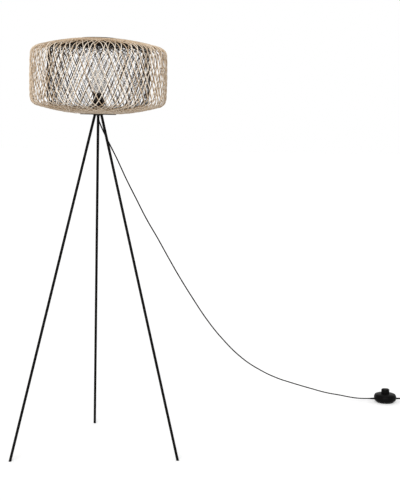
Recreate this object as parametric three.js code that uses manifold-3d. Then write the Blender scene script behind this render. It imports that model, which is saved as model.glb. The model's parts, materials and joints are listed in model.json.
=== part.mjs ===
// A tripod floor lamp: three slim black legs, a double-walled woven drum shade with a lampholder and
// bulb inside it, and a mains lead with a round foot switch, a wound spare length and a plug.
// Millimetres, +Z up, the floor at z = 0. Front is -Y and the rear leg is at +Y.

import * as THREE from 'three';
import { mergeVertices } from 'three/addons/utils/BufferGeometryUtils.js';
import Module from 'manifold-3d';

const wasm = await Module();
wasm.setup();

// Fits
const touchGap = 0.3; // between pieces that touch
const cutOverrun = 5; // how far a cutter runs past what it cuts
const weldTolerance = 1e-4; // corners nearer than this are one corner

// Stand
const footRadius = 350; // from the lamp's axis to the middle of each foot, on the floor
const legSeatRadius = 14.2; // from the axis to the middle of each leg's top end
const legSeatHeight = 1247;
const legDiameter = 10;
const legWall = 1.7;
const legFirstAngle = 90; // the rear leg, in degrees from +X
const legNames = ['rear', 'left', 'right'];
const footCapLength = 14;
const footStemLength = 16;
const studDiameter = legDiameter - 2 * (legWall + touchGap);
const studInLeg = 20;
const studInHub = 9;

// Hub
const hubRadius = 24;
const hubFlatRadius = 9; // the flat middle of its underside, inside the leg seats
const hubTopRise = 14; // above the middle of the legs' top ends
const nippleDiameter = 10;
const nippleWall = 1.5;
const nippleIntoHolder = 7;
const lockNutAcrossFlats = 14;
const lockNutThickness = 3;
const lockNutSides = 6;

// Shade
const shadeCentreRise = 126; // above the hub's top
const shadeRingRadius = 64;
const shadeRingRise = 136; // from the shade's middle to the middle of each wire ring
const ringWireRadius = 2;
const outerWeave = {
  thickness: 2.4,
  edgeRise: 1.2, // above the ring's middle
  crownRadius: 130,
  crownRise: 134.2,
  shoulderRadius: 223,
  shoulderRise: 108.5,
  cornerRadius: 245.5,
  cornerRise: 102,
  wallRadius: 248.5,
  wallRise: 78,
  bellyRadius: 250,
  openingsRound: 20,
};
const innerWeave = {
  thickness: 1.4,
  edgeRise: -2.1,
  crownRadius: 115,
  crownRise: 131,
  shoulderRadius: 166,
  shoulderRise: 112.5,
  cornerRadius: 183,
  cornerRise: 106,
  wallRadius: 185,
  wallRise: 86,
  bellyRadius: 187,
  openingsRound: 16,
};
const innerMouthShare = 0.6; // of the wire's radius, from the ring's radius out to the inner weave's mouths
const innerWeaveEdge = shadeRingRadius + innerMouthShare * ringWireRadius;
const weaveBarWidth = 12; // of the crossing bars that stand for several strips each

// Lampholder, heights above its own foot
const holderCapRadius = 20.5;
const holderCapHeight = 24;
const holderCapNeckRadius = 10.5;
const holderCapFlareHeight = 13;
const holderCapWall = 2.4;
const holderLedgeHeight = 19.7; // where the terminal block rests
const holderLedgeRadius = 15;
const holderShellWall = 2.6;
const holderThreadRadius = 19.6;
const holderShoulderRadius = 21.5;
const holderShoulderHeight = 31;
const holderHeight = 64;
const holderBlockRadius = 16.6;
const holderBlockTop = 34;
const screwShellRadius = 14.1;
const screwShellWall = 0.5;
const screwShellTop = 60;
const screwShellFlangeRadius = 8;
const centreTongue = { length: 12, width: 4, height: 2.2 };
const terminal = { length: 6, width: 6, height: 4, offset: 8 };
const terminalScrew = { radius: 1.5, length: 5 };
const clampRingRadius = 25;
const clampRingHeight = 6;

// Shade carrier: a ring on the lampholder's shoulder and three arms down to the lower wire ring
const carrierRingRadius = 24.5;
const carrierRingThickness = 1.6;
const carrierArmRadius = 1.5;
const carrierArmCount = 3;
const carrierFirstAngle = 30;

// Bulb, heights above its contact's tip
const bulbHeight = 108;
const bulbRadius = 30;
const bulbCapRadius = 13.2;
const bulbTip = { radius: 4, height: 1.2 };
const bulbInsulator = { radius: 9, height: 3.2 };
const bulbCapTop = 23;
const bulbCapWall = 0.6;
const bulbBodyTop = 55;
const bulbBodyFootRadius = 12.9;
const bulbJointRadius = 27;
const bulbWall = 1.6;
const bulbBoard = { radius: 22, thickness: 1.6, below: 4 };
const bulbContactClearance = 0.5;

// Foot switch, heights above the floor
const switchCentre = [1292, 691];
const switchCoverRadius = 49.5;
const switchCoverHeight = 42;
const switchWall = 2.4;
const switchBase = { radius: 41, footRadius: 37.5, bottom: 1.9, top: 6 };
const switchPad = { inner: 12, outer: 25, thickness: 1.6 };
const switchCoverOutlineShares = [
  [0.84, 0],
  [0.95, 0.12],
  [1, 0.3],
  [1, 0.52],
  [0.98, 0.7],
  [0.91, 0.86],
  [0.75, 0.945],
  [0.55, 0.985],
  [0.382, 1],
];
const buttonRadius = 18;
const buttonHeight = 62;
const buttonEdgeHeight = 57;
const buttonCrownShares = [
  [0.96, 0.5],
  [0.82, 0.8],
  [0.5, 1],
];
const buttonTravel = 3;
const buttonFlange = { radius: 21, thickness: 2, clearance: 1 };
const buttonStem = { radius: 4, bottom: 20 };
const switchBlock = { length: 26, width: 20, top: 24, boreBottom: 12 };
const switchTerminal = { thickness: 2.6, width: 10, height: 6 };
const springRadius = 6.6;
const springWireRadius = 0.6;
const springTurns = 5;
const springStepsPerTurn = 8;
const springSides = 5;
const switchScrew = { radius: 1.4, length: 12, headRadius: 2.6, headHeight: 2 };
const switchScrewCircle = 29;
const switchScrewCount = 3;
const switchScrewFirstAngle = 30;
const switchBoss = { radius: 3.8, top: 40 };

// Lead
const cordRadius = 2.5;
const cordSides = 8;
const coreRadius = 1.1;
const sheathAboveNipple = 2; // where the sheath ends inside the lampholder
const inletHeight = 17; // of the cord where it enters and leaves the switch
const bootNeckRadius = 3.2;
const bootCollar = { radius: 4, thickness: 2.2 };
const bootInnerFlange = { radius: 6, thickness: 1.5, from: 42.8 };
const bootLength = 24;
const bootTipRadius = 2.8;
const hubBootFlange = { radius: 5.6, thickness: 2 };
const hubBootRootRadius = 4.6;
const hubBootSpigot = 5;
const hubBootSteps = 6;

// The hanging stretch, from under the hub to the switch: across and back from the lamp's axis, and the
// share of its drop that is still to come. It ends in the switch's boot.
const hangingStartDrop = 23; // from the legs' top ends
const hangingRoute = [
  [4, 3, 1],
  [12, 9, 0.9847],
  [33, 23, 0.9486],
  [72, 49, 0.8861],
  [107, 73, 0.8252],
  [147, 102, 0.7614],
  [188, 130, 0.6968],
  [235, 163, 0.6313],
  [281, 196, 0.5642],
  [330, 230, 0.4954],
  [384, 267, 0.425],
  [443, 309, 0.3521],
  [515, 360, 0.2767],
  [609, 426, 0.1972],
  [697, 488, 0.1433],
  [779, 545, 0.1044],
  [844, 588, 0.0804],
  [944, 638, 0.0485],
  [1019, 663, 0.0278],
  [1084, 679, 0.0153],
  [1132, 687, 0.0062],
  [1167, 690, 0.0017],
  [1196, 691, 0.0002],
];
const hangingSteps = 62;

// The spare length: a coil on the floor beside the switch
const coilFromSwitch = [137.5, 37.5];
const coilOuterRadius = 37.5; // to the middle of the cord
const coilPitch = 5.6;
const coilLayerTurns = 2.875;
const coilClimbTurns = 0.5;
const coilStartAngle = -90;
const coilFloorHeight = 2.8; // of the lower layer's middle
const coilStepsPerTurn = 24;
const coilSides = 6;
const coilLeadRoute = [
  [80.5, 0, 16.5],
  [91.5, 0, 13.2],
  [103.5, 0, 7.8],
  [114.5, 0, 4],
  [123.5, 0, 2.9],
  [132.2, -0.1, 2.8],
]; // from the switch's middle, on the floor
const coilLeadSteps = 8;

// Plug, lying flat, its pins towards +Y
const plugLeadLength = 30;
const plugLeadSteps = 4;
const plugBody = { length: 37, width: 35, neckWidth: 13, thickness: 13.7, taper: 22, bevel: 3 };
const plugBoot = { length: 22, rootRadius: 4.4, tipRadius: 3.3 };
const pin = { length: 19, radius: 2, coreRadius: 1.3, spacing: 18.6, sleeveLength: 10 };
const pinSleeveWall = 0.3;
const pinSleeveRoot = 1; // how far the sleeves reach into the plug's body

// Facets of round pieces
const ringFacets = 36;
const wireFacets = 6;
const rodFacets = 12;
const holderFacets = 24;
const bulbFacets = 20;
const bulbDomeSteps = 4;
const plugBevelSteps = 2;
const plugCurveSteps = 5;
const switchFacets = 28;
const smallFacets = 10;
const stretchSteps = [3, 2, 2]; // straight pieces in each stretch of a shade's outline

// Worked out from the sizes above
const hubTopHeight = legSeatHeight + hubTopRise;
const shadeCentreHeight = hubTopHeight + shadeCentreRise;
const legRise = legSeatHeight;
const legRun = footRadius - legSeatRadius;
const legTilt = Math.atan2(legRun, legRise);
const legLength = Math.hypot(legRun, legRise);
const hubFlatHeight = legSeatHeight - (legSeatRadius - hubFlatRadius) * Math.tan(legTilt);
const hubEdgeHeight = legSeatHeight + (hubRadius - legSeatRadius) * Math.tan(legTilt);
const nippleRadius = nippleDiameter / 2;
const nippleHoleRadius = nippleRadius + touchGap;
const nippleBoreRadius = nippleRadius - nippleWall;
const lockNutBottom = hubTopHeight + touchGap;
const holderFoot = lockNutBottom + lockNutThickness + touchGap;
const nippleTop = holderFoot + nippleIntoHolder;
const bulbFoot = holderFoot + holderBlockTop + centreTongue.height + bulbContactClearance;
const switchSpringBottom = switchBlock.top + touchGap;
const buttonFlangeTop = switchCoverHeight - switchWall - buttonFlange.clearance;
const buttonFlangeBottom = buttonFlangeTop - buttonFlange.thickness;
const [switchX, switchY] = switchCentre;
const switchReach = switchCoverRadius + bootLength + touchGap; // from its middle to the cords' ends
const hangingStart = legSeatHeight - hangingStartDrop;
const hangingPoints = hangingRoute.map(([x, y, share]) => {
  return [x, y, inletHeight + share * (hangingStart - inletHeight)];
});
hangingPoints.push([switchX - switchReach, switchY, inletHeight]);
const coilLeadPoints = coilLeadRoute.map(([x, y, z]) => [switchX + x, switchY + y, z]);
coilLeadPoints.unshift([switchX + switchReach, switchY, inletHeight]);
const coilCentre = [switchX + coilFromSwitch[0], switchY + coilFromSwitch[1]];

// The frame's origin is under the middle of the lamp's own footprint: the shade reaches furthest
// forward and the rear foot furthest back, so the lamp's axis stands forward of it.
const frontReach = outerWeave.bellyRadius;
const rearReach = footRadius + legDiameter / 2 / Math.cos(legTilt);
const axisSetForward = (rearReach - frontReach) / 2;

// Finishes
const finishes = {
  blackSteel: { color: 0x161514, roughness: 0.42, metalness: 0.6 },
  blackPlastic: { color: 0x141413, roughness: 0.5, metalness: 0 },
  blackRubber: { color: 0x121212, roughness: 0.8, metalness: 0 },
  plainSteel: { color: 0xa8a8a4, roughness: 0.35, metalness: 0.9 },
  brass: { color: 0xb08d4c, roughness: 0.35, metalness: 0.9 },
  nickel: { color: 0xb9b6ae, roughness: 0.28, metalness: 0.9 },
  ceramic: { color: 0xe8e4da, roughness: 0.4, metalness: 0 },
  rattan: { color: 0xd8c3a0, roughness: 0.62, metalness: 0 },
  darkRattan: { color: 0x2a2119, roughness: 0.65, metalness: 0 },
  opal: { color: 0xf3ede0, roughness: 0.35, metalness: 0 },
  whitePlastic: { color: 0xeceae4, roughness: 0.45, metalness: 0 },
  copper: { color: 0x8a5a2c, roughness: 0.5, metalness: 0.2 },
};

const lamp = new THREE.Group();
lamp.position.y = -axisSetForward;

function piece(name, geometry, finish, parent = lamp) {
  const mesh = new THREE.Mesh(geometry, new THREE.MeshStandardMaterial(finishes[finish]));
  mesh.name = name;
  parent.add(mesh);
  return mesh;
}

function radians(degrees) {
  return THREE.MathUtils.degToRad(degrees);
}

// A body turned about +Z from [radius, height] points, which start and end on the axis or go round.
function turned(points, facets) {
  let area = 0;
  points.forEach(([r, z], i) => {
    const [nextR, nextZ] = points[(i + 1) % points.length];
    area += r * nextZ - nextR * z;
  });
  const ordered = area > 0 ? [...points] : [...points].reverse();
  if (ordered[0][0] > 0) {
    ordered.push(ordered[0]);
  }
  const outline = ordered.map(([r, z]) => new THREE.Vector2(r, z));
  return new THREE.LatheGeometry(outline, facets).rotateX(Math.PI / 2);
}

function rod(radius, bottom, top, facets) {
  return turned([[0, bottom], [radius, bottom], [radius, top], [0, top]], facets);
}

function sleeve(inner, outer, bottom, top, facets) {
  return turned([[inner, bottom], [outer, bottom], [outer, top], [inner, top]], facets);
}

// Only the corners and faces of a geometry, with shared corners joined and no face without area.
function bare(geometry) {
  const copy = geometry.clone();
  copy.deleteAttribute('normal');
  copy.deleteAttribute('uv');
  const merged = mergeVertices(copy, weldTolerance);
  const corners = merged.index.array;
  const kept = [];
  for (let i = 0; i < corners.length; i += 3) {
    const [a, b, c] = [corners[i], corners[i + 1], corners[i + 2]];
    if (a !== b && b !== c && c !== a) {
      kept.push(a, b, c);
    }
  }
  merged.setIndex(kept);
  return merged;
}

function solid(geometry) {
  const mesh = bare(geometry);
  return new wasm.Manifold(new wasm.Mesh({
    numProp: 3,
    vertProperties: Float32Array.from(mesh.attributes.position.array),
    triVerts: Uint32Array.from(mesh.index.array),
  }));
}

function geometryOf(body) {
  const { vertProperties, triVerts } = body.getMesh();
  const geometry = new THREE.BufferGeometry();
  geometry.setAttribute('position', new THREE.BufferAttribute(vertProperties, 3));
  geometry.setIndex(new THREE.BufferAttribute(triVerts, 1));
  return geometry;
}

function cut(geometry, cutters) {
  return geometryOf(cutters.reduce((body, cutter) => body.subtract(solid(cutter)), solid(geometry)));
}

function joined(geometries) {
  const [first, ...rest] = geometries.map(solid);
  return geometryOf(rest.reduce((body, other) => body.add(other), first));
}

// Copies of a geometry round +Z.
function round(geometry, count, firstAngle) {
  return Array.from({ length: count }, (_, i) => {
    return geometry.clone().rotateZ(radians(firstAngle) + (i * 2 * Math.PI) / count);
  });
}

// Copies round +Z, each with its own name.
function piecesRound(names, geometry, firstAngle, finish, parent) {
  round(geometry, names.length, firstAngle).forEach((copy, i) => piece(names[i], copy, finish, parent));
}

// A tube of one thickness along a smooth curve through the points.
function cordAlong(points, steps) {
  const path = new THREE.CatmullRomCurve3(points.map((p) => new THREE.Vector3(...p)), false, 'centripetal');
  const corners = Array.from({ length: cordSides }, (_, i) => {
    const angle = (i * 2 * Math.PI) / cordSides;
    return new THREE.Vector2(cordRadius * Math.cos(angle), cordRadius * Math.sin(angle));
  });
  const section = new THREE.Shape(corners);
  return new THREE.ExtrudeGeometry(section, { steps, extrudePath: path, bevelEnabled: false });
}

// One unbroken closed tube round a line of points, whose radius may change along it.
function woundTube(line, radiusAt, sides) {
  const tangents = line.map((_, i) => {
    const before = line[Math.max(i - 1, 0)];
    const after = line[Math.min(i + 1, line.length - 1)];
    return after.clone().sub(before).normalize();
  });
  const across = Math.abs(tangents[0].z) < Math.SQRT1_2 ? new THREE.Vector3(0, 0, 1) : new THREE.Vector3(1, 0, 0);
  const positions = [];
  line.forEach((point, i) => {
    across.addScaledVector(tangents[i], -across.dot(tangents[i])).normalize();
    const third = tangents[i].clone().cross(across);
    const radius = radiusAt(i / (line.length - 1));
    for (let side = 0; side < sides; side += 1) {
      const angle = (side * 2 * Math.PI) / sides;
      const corner = point.clone();
      corner.addScaledVector(across, radius * Math.cos(angle));
      corner.addScaledVector(third, radius * Math.sin(angle));
      positions.push(corner.x, corner.y, corner.z);
    }
  });
  const faces = [];
  const corner = (ring, side) => ring * sides + (side % sides);
  for (let ring = 0; ring + 1 < line.length; ring += 1) {
    for (let side = 0; side < sides; side += 1) {
      faces.push(corner(ring, side), corner(ring, side + 1), corner(ring + 1, side + 1));
      faces.push(corner(ring, side), corner(ring + 1, side + 1), corner(ring + 1, side));
    }
  }
  const last = line.length - 1;
  for (let side = 1; side + 1 < sides; side += 1) {
    faces.push(corner(0, 0), corner(0, side + 1), corner(0, side));
    faces.push(corner(last, 0), corner(last, side), corner(last, side + 1));
  }
  const geometry = new THREE.BufferGeometry();
  geometry.setAttribute('position', new THREE.Float32BufferAttribute(positions, 3));
  geometry.setIndex(faces);
  return geometry;
}

// The outline moved square to itself, to the left of its direction.
function movedOutline(points, distance) {
  return points.map(([r, z], i) => {
    const [beforeR, beforeZ] = points[Math.max(i - 1, 0)];
    const [afterR, afterZ] = points[Math.min(i + 1, points.length - 1)];
    const length = Math.hypot(afterR - beforeR, afterZ - beforeZ);
    return [r - (distance * (afterZ - beforeZ)) / length, z + (distance * (afterR - beforeR)) / length];
  });
}

// Stand: legs, studs and feet
function onLeg(geometry, angle) {
  return geometry.rotateY(-legTilt).translate(footRadius, 0, 0).rotateZ(angle);
}

function legGroup(angle) {
  const arm = new THREE.Group();
  arm.rotation.z = angle;
  const leg = new THREE.Group();
  leg.position.x = footRadius;
  leg.rotation.y = -legTilt;
  arm.add(leg);
  lamp.add(arm);
  return leg;
}

function footCap() {
  const capRadius = legDiameter / 2;
  const stemRadius = studDiameter / 2;
  const belowFloor = -cutOverrun;
  const stemTop = footCapLength + footStemLength;
  const outline = [
    [0, belowFloor],
    [capRadius, belowFloor],
    [capRadius, footCapLength],
    [stemRadius, footCapLength],
    [stemRadius, stemTop],
    [0, stemTop],
  ];
  const reach = 2 * stemTop;
  const belowTheFloor = new THREE.BoxGeometry(reach, reach, reach).translate(0, 0, -reach / 2).rotateY(legTilt);
  return cut(turned(outline, rodFacets), [belowTheFloor]);
}

function addLegs() {
  legNames.forEach((side, i) => {
    const angle = radians(legFirstAngle) + (i * 2 * Math.PI) / legNames.length;
    const leg = legGroup(angle);
    const tubeBottom = footCapLength + touchGap;
    const tubeTop = legLength - touchGap;
    const bore = legDiameter / 2 - legWall;
    piece(`leg_${side}`, sleeve(bore, legDiameter / 2, tubeBottom, tubeTop, rodFacets), 'blackSteel', leg);
    const studBottom = legLength - studInLeg;
    const studTop = legLength + studInHub;
    piece(`leg_stud_${side}`, rod(studDiameter / 2, studBottom, studTop, smallFacets), 'plainSteel', leg);
    piece(`foot_cap_${side}`, footCap(), 'blackRubber', leg);
  });
}

// Hub, threaded nipple and lock nut
function addHub() {
  const body = turned([
    [nippleHoleRadius, hubFlatHeight],
    [hubFlatRadius, hubFlatHeight],
    [hubRadius, hubEdgeHeight],
    [hubRadius, hubTopHeight],
    [nippleHoleRadius, hubTopHeight],
  ], holderFacets);
  const holeRadius = studDiameter / 2 + touchGap;
  const holes = legNames.map((_, i) => {
    const angle = radians(legFirstAngle) + (i * 2 * Math.PI) / legNames.length;
    const holeTop = legLength + studInHub + touchGap;
    return onLeg(rod(holeRadius, legLength - cutOverrun, holeTop, smallFacets), angle);
  });
  piece('leg_hub', cut(body, holes), 'blackSteel');
  piece('hub_nipple', sleeve(nippleBoreRadius, nippleRadius, hubFlatHeight, nippleTop, rodFacets), 'plainSteel');
  const nutRadius = lockNutAcrossFlats / 2 / Math.cos(Math.PI / lockNutSides);
  const nutTop = lockNutBottom + lockNutThickness;
  const nut = cut(
    rod(nutRadius, lockNutBottom, nutTop, lockNutSides),
    [rod(nippleHoleRadius, lockNutBottom - cutOverrun, nutTop + cutOverrun, rodFacets)],
  );
  piece('nipple_lock_nut', nut, 'plainSteel');
}

// Shade: two woven walls on shared wire rings
function weaveOutline(form, edgeRadius) {
  const stretches = [
    [
      [edgeRadius, shadeRingRise + form.edgeRise],
      [form.crownRadius, form.crownRise],
      [form.shoulderRadius, form.shoulderRise],
    ],
    [
      [form.shoulderRadius, form.shoulderRise],
      [form.cornerRadius, form.cornerRise],
      [form.wallRadius, form.wallRise],
    ],
    [
      [form.wallRadius, form.wallRise],
      [form.bellyRadius, form.wallRise / 2],
      [form.bellyRadius, 0],
    ],
  ];
  const upper = stretches.flatMap((corners, i) => {
    const [start, middle, end] = corners.map(([r, z]) => new THREE.Vector2(r, z));
    const points = new THREE.QuadraticBezierCurve(start, middle, end).getPoints(stretchSteps[i]);
    return i === 0 ? points : points.slice(1);
  });
  const lower = upper.slice(0, -1).reverse().map((p) => new THREE.Vector2(p.x, -p.y));
  return [...upper, ...lower].map((p) => [p.x, p.y]);
}

// How far each opening reaches from its middle towards the next one, as a share of the way.
function openingShare(form) {
  const halfPitch = (Math.PI * form.bellyRadius) / form.openingsRound;
  const rowGap = form.wallRise / stretchSteps[2];
  const barReach = (halfPitch * rowGap) / Math.hypot(halfPitch, rowGap);
  return 1 - weaveBarWidth / 2 / barReach;
}

// A thin wall of revolution on a grid of levels and columns. On the upright stretch every second
// corner of the grid is the middle of an opening, so the bars between the openings cross.
function weaveShell(form, edgeRadius) {
  const outline = weaveOutline(form, edgeRadius);
  const skins = [outline, movedOutline(outline, -form.thickness)];
  const columns = 2 * form.openingsRound;
  const share = openingShare(form);
  const corner = (skin, level, column) => {
    const [radius, height] = skins[skin][level];
    const angle = ((column % columns) * 2 * Math.PI) / columns;
    return new THREE.Vector3(radius * Math.cos(angle), radius * Math.sin(angle), height);
  };
  const isOpen = (level, column) => {
    return Math.abs(outline[level][1]) <= form.wallRise && (level + column) % 2 === 0;
  };
  const positions = [];
  const addFace = (points) => {
    for (let i = 2; i < points.length; i += 1) {
      [points[0], points[i - 1], points[i]].forEach((p) => positions.push(...p.toArray()));
    }
  };
  for (let column = 0; column < columns; column += 1) {
    for (let level = 0; level < outline.length - 1; level += 1) {
      const places = [[level, column], [level + 1, column], [level + 1, column + 1], [level, column + 1]];
      const faces = skins.map((_, skin) => places.flatMap((place, i) => {
        const here = corner(skin, ...place);
        if (!isOpen(...place)) {
          return [here];
        }
        const before = corner(skin, ...places.at(i - 1));
        const after = corner(skin, ...places[(i + 1) % places.length]);
        return [here.clone().lerp(before, share), here.clone().lerp(after, share)];
      }));
      addFace(faces[0]);
      addFace([...faces[1]].reverse());
      let next = 0;
      places.forEach((place) => {
        if (isOpen(...place)) {
          const [from, to] = [next, next + 1];
          addFace([faces[0][to], faces[0][from], faces[1][from], faces[1][to]]);
          next += 1;
        }
        next += 1;
      });
    }
    const last = outline.length - 1;
    [[0, column, column + 1], [last, column + 1, column]].forEach(([level, from, to]) => {
      addFace([corner(0, level, from), corner(0, level, to), corner(1, level, to), corner(1, level, from)]);
    });
  }
  const geometry = new THREE.BufferGeometry();
  geometry.setAttribute('position', new THREE.Float32BufferAttribute(positions, 3));
  return bare(geometry);
}

function wireRing(height) {
  const section = Array.from({ length: wireFacets }, (_, i) => {
    const angle = (i * 2 * Math.PI) / wireFacets;
    return [
      shadeRingRadius + ringWireRadius * Math.cos(angle),
      height + ringWireRadius * Math.sin(angle),
    ];
  });
  return turned(section, ringFacets);
}

function shadeCarrier() {
  const ringBottom = holderFoot + holderShoulderHeight + touchGap;
  const ringTop = ringBottom + carrierRingThickness;
  const ring = sleeve(holderThreadRadius + touchGap, carrierRingRadius, ringBottom, ringTop, holderFacets);
  const wire = new THREE.Vector3(shadeRingRadius, 0, shadeCentreHeight - shadeRingRise);
  const start = new THREE.Vector3(carrierRingRadius - carrierArmRadius, 0, ringBottom);
  const direction = wire.clone().sub(start).normalize();
  const end = wire.clone().addScaledVector(direction, -ringWireRadius - touchGap);
  const arm = woundTube([start, end], () => carrierArmRadius, wireFacets);
  return joined([ring, ...round(arm, carrierArmCount, carrierFirstAngle)]);
}

function addShade() {
  const outerEdge = shadeRingRadius + ringWireRadius + touchGap;
  const outer = weaveShell(outerWeave, outerEdge).translate(0, 0, shadeCentreHeight);
  piece('outer_weave', outer, 'rattan');
  const inner = weaveShell(innerWeave, innerWeaveEdge).translate(0, 0, shadeCentreHeight);
  piece('inner_weave', inner, 'darkRattan');
  piece('shade_top_ring', wireRing(shadeCentreHeight + shadeRingRise), 'blackSteel');
  piece('shade_bottom_ring', wireRing(shadeCentreHeight - shadeRingRise), 'blackSteel');
  piece('shade_carrier', shadeCarrier(), 'blackSteel');
}

// Lampholder
function holderCap() {
  const inner = holderCapRadius - holderCapWall;
  const neckTop = nippleIntoHolder;
  return turned([
    [nippleHoleRadius, 0],
    [holderCapNeckRadius, 0],
    [holderCapNeckRadius + holderCapWall / 2, holderCapFlareHeight / 2],
    [holderCapRadius, holderCapFlareHeight],
    [holderCapRadius, holderCapHeight],
    [inner, holderCapHeight],
    [inner, holderLedgeHeight],
    [holderLedgeRadius, holderLedgeHeight],
    [holderLedgeRadius, holderCapFlareHeight],
    [holderCapNeckRadius - holderCapWall / 2, neckTop],
    [nippleHoleRadius, neckTop],
  ], holderFacets);
}

function holderShell() {
  const bottom = holderCapHeight + touchGap;
  const bore = holderThreadRadius - holderShellWall;
  return turned([
    [bore, bottom],
    [holderShoulderRadius, bottom],
    [holderShoulderRadius, holderShoulderHeight],
    [holderThreadRadius, holderShoulderHeight],
    [holderThreadRadius, holderHeight],
    [bore, holderHeight],
  ], holderFacets);
}

function screwShell() {
  const bottom = holderBlockTop + touchGap;
  const inner = screwShellRadius - screwShellWall;
  return turned([
    [screwShellFlangeRadius, bottom],
    [screwShellRadius, bottom],
    [screwShellRadius, screwShellTop],
    [inner, screwShellTop],
    [inner, bottom + screwShellWall],
    [screwShellFlangeRadius, bottom + screwShellWall],
  ], holderFacets);
}

function addHolder() {
  const holder = new THREE.Group();
  holder.position.z = holderFoot;
  lamp.add(holder);
  piece('holder_cap', holderCap(), 'blackPlastic', holder);
  piece('holder_shell', holderShell(), 'blackPlastic', holder);
  const blockBottom = holderLedgeHeight + touchGap;
  piece('holder_block', rod(holderBlockRadius, blockBottom, holderBlockTop, holderFacets), 'ceramic', holder);
  piece('holder_screw_shell', screwShell(), 'nickel', holder);
  const { length, width, height } = centreTongue;
  const tongueMiddle = holderBlockTop + touchGap + (height - touchGap) / 2;
  const tongue = new THREE.BoxGeometry(length, width, height - touchGap).translate(0, 0, tongueMiddle);
  piece('holder_centre_contact', tongue, 'brass', holder);
  const blockHeight = terminal.height;
  const terminalMiddle = holderLedgeHeight - blockHeight / 2;
  const box = new THREE.BoxGeometry(terminal.length, terminal.width, blockHeight);
  box.translate(terminal.offset, 0, terminalMiddle);
  piecesRound(['holder_terminal_live', 'holder_terminal_neutral'], box, 0, 'brass', holder);
  const screw = rod(terminalScrew.radius, 0, terminalScrew.length, smallFacets);
  screw.rotateX(Math.PI / 2).translate(terminal.offset, -terminal.width / 2 - touchGap, terminalMiddle);
  piecesRound(['terminal_screw_live', 'terminal_screw_neutral'], screw, 0, 'plainSteel', holder);
  const clampBottom = holderShoulderHeight + touchGap + carrierRingThickness + touchGap;
  const clampRing = sleeve(
    holderThreadRadius + touchGap,
    clampRingRadius,
    clampBottom,
    clampBottom + clampRingHeight,
    holderFacets,
  );
  piece('shade_clamp_ring', clampRing, 'blackPlastic', holder);
}

// Bulb
function bulbDomeOutline(inset) {
  const centre = bulbHeight - bulbRadius;
  const radius = bulbRadius - inset;
  const bottom = bulbBodyTop + touchGap;
  const outline = [
    [bulbJointRadius - inset, bottom],
    [(bulbJointRadius + 2 * bulbRadius) / 3 - inset, (bottom + centre) / 2],
  ];
  for (let i = 0; i < bulbDomeSteps; i += 1) {
    const angle = (i * Math.PI) / 2 / bulbDomeSteps;
    outline.push([radius * Math.cos(angle), centre + radius * Math.sin(angle)]);
  }
  outline.push([0, centre + radius]);
  return outline;
}

function bulbDome() {
  return turned([...bulbDomeOutline(bulbWall).reverse(), ...bulbDomeOutline(0)], bulbFacets);
}

function bulbBody() {
  const ledge = bulbBodyTop - bulbBoard.below;
  const bottom = bulbCapTop + touchGap;
  return turned([
    [0, bottom],
    [bulbBodyFootRadius, bottom],
    [(bulbBodyFootRadius + bulbJointRadius) / 2 - bulbWall, (bottom + ledge) / 2],
    [bulbJointRadius, bulbBodyTop],
    [bulbJointRadius - bulbWall, bulbBodyTop],
    [bulbBoard.radius + bulbWall, ledge],
    [0, ledge],
  ], bulbFacets);
}

function addBulb() {
  const bulb = new THREE.Group();
  bulb.position.z = bulbFoot;
  lamp.add(bulb);
  piece('bulb_contact', rod(bulbTip.radius, 0, bulbTip.height, smallFacets), 'plainSteel', bulb);
  const insulatorBottom = bulbTip.height + touchGap;
  const insulatorTop = insulatorBottom + bulbInsulator.height;
  const insulator = turned([
    [0, insulatorBottom],
    [bulbTip.radius, insulatorBottom],
    [bulbInsulator.radius, insulatorTop],
    [0, insulatorTop],
  ], bulbFacets);
  piece('bulb_insulator', insulator, 'blackPlastic', bulb);
  const capBottom = insulatorTop + touchGap;
  const cap = turned([
    [0, capBottom],
    [bulbInsulator.radius, capBottom],
    [bulbCapRadius, capBottom + bulbInsulator.height],
    [bulbCapRadius, bulbCapTop],
    [bulbCapRadius - bulbCapWall, bulbCapTop],
    [bulbCapRadius - bulbCapWall, capBottom + bulbInsulator.height],
    [bulbInsulator.radius, capBottom + bulbCapWall],
    [0, capBottom + bulbCapWall],
  ], bulbFacets);
  piece('bulb_screw_cap', cap, 'nickel', bulb);
  piece('bulb_body', bulbBody(), 'whitePlastic', bulb);
  const boardBottom = bulbBodyTop - bulbBoard.below + touchGap;
  const board = rod(bulbBoard.radius, boardBottom, boardBottom + bulbBoard.thickness, bulbFacets);
  piece('bulb_light_board', board, 'whitePlastic', bulb);
  piece('bulb_dome', bulbDome(), 'opal', bulb);
}

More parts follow.
